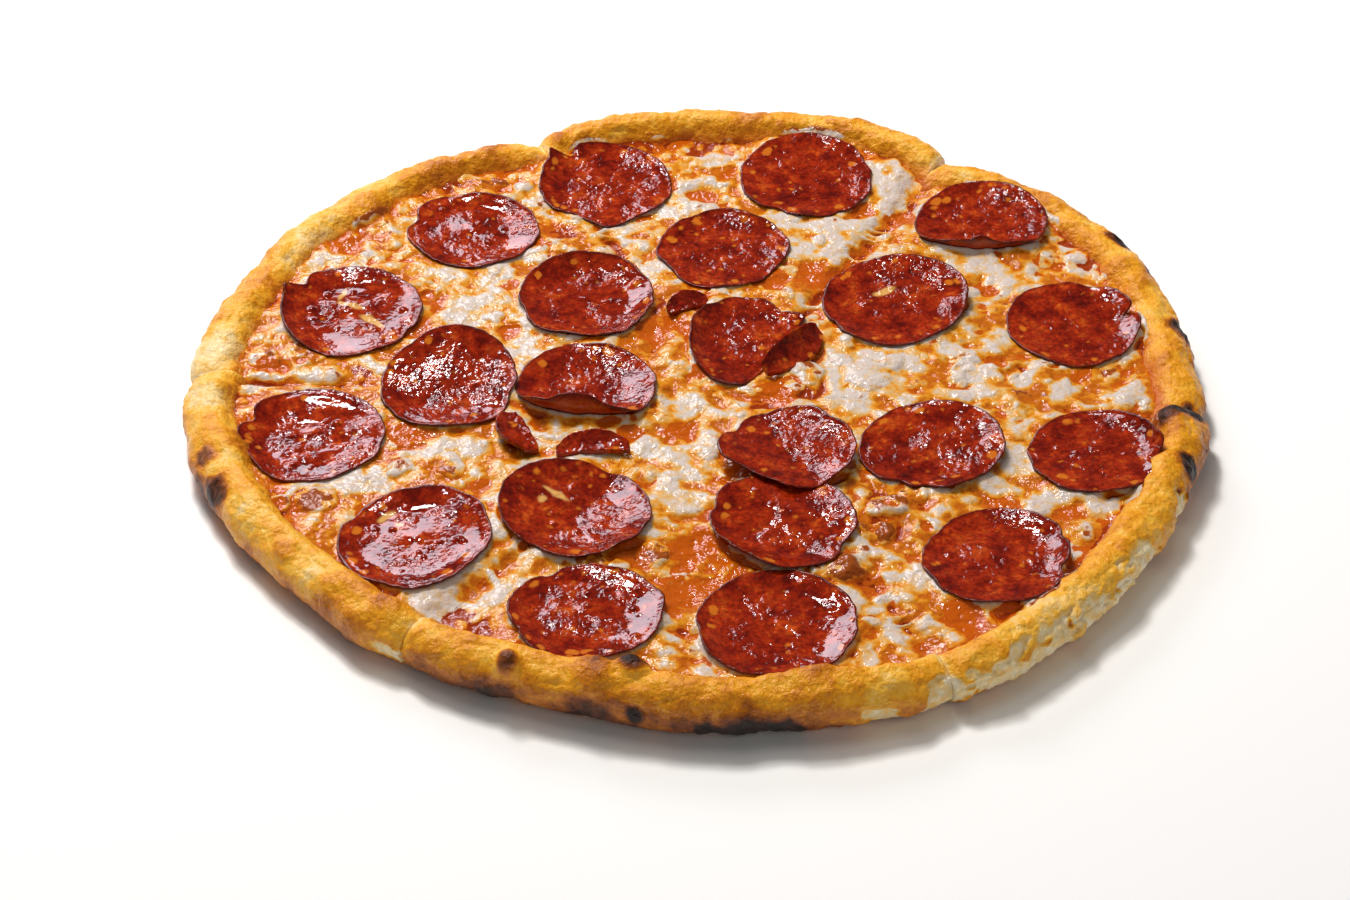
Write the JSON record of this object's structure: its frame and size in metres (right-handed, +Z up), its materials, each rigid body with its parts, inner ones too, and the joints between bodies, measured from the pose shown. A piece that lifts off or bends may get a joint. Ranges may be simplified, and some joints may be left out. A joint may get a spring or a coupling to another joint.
{
  "type": "pepperoni pizza",
  "caption": "Whole round pepperoni pizza with a puffed golden rim, melted cheese and curled pepperoni, cut into wedges that still lie together.",
  "frame": {"origin": "middle of the pizza's outline, on the flat underside that it rests on", "axes": "+Z up, out of the cheese; -Y towards the side that is nearest in the picture; +X to the right there"},
  "size_m": [0.3295, 0.3308, 0.0217],
  "materials": {
    "baked_dough": "golden baked dough, matt, with brown spots",
    "tomato_sauce": "moist cooked tomato sauce",
    "melted_cheese": "melted cheese, glossy with oil, mottled cream and orange",
    "pepperoni": "oily cured sausage, glossy, with darker edges"
  },
  "bodies": {
    "root": {"dough_east": "baked_dough", "dough_north": "baked_dough", "dough_northwest": "baked_dough", "dough_southwest": "baked_dough", "dough_south": "baked_dough", "dough_southeast": "baked_dough", "sauce_east": "tomato_sauce", "sauce_north": "tomato_sauce", "sauce_northwest": "tomato_sauce", "sauce_southwest": "tomato_sauce", "sauce_south": "tomato_sauce", "sauce_southeast": "tomato_sauce", "cheese_east": "melted_cheese", "cheese_north": "melted_cheese", "cheese_northwest": "melted_cheese", "cheese_southwest": "melted_cheese", "cheese_south": "melted_cheese", "cheese_southeast": "melted_cheese", "pepperoni_01": "pepperoni", "pepperoni_02": "pepperoni", "pepperoni_03": "pepperoni", "pepperoni_04": "pepperoni", "pepperoni_05": "pepperoni", "pepperoni_06": "pepperoni", "pepperoni_07": "pepperoni", "pepperoni_08": "pepperoni", "pepperoni_09": "pepperoni", "pepperoni_10": "pepperoni", "pepperoni_11": "pepperoni", "pepperoni_12": "pepperoni", "pepperoni_13": "pepperoni", "pepperoni_14": "pepperoni", "pepperoni_15": "pepperoni", "pepperoni_16": "pepperoni", "pepperoni_17": "pepperoni", "pepperoni_18": "pepperoni", "pepperoni_19": "pepperoni", "pepperoni_20": "pepperoni", "pepperoni_21": "pepperoni", "pepperoni_22": "pepperoni", "pepperoni_scrap_1": "pepperoni", "pepperoni_scrap_2": "pepperoni", "pepperoni_scrap_3": "pepperoni", "pepperoni_scrap_4": "pepperoni"}
  },
  "joints": []
}
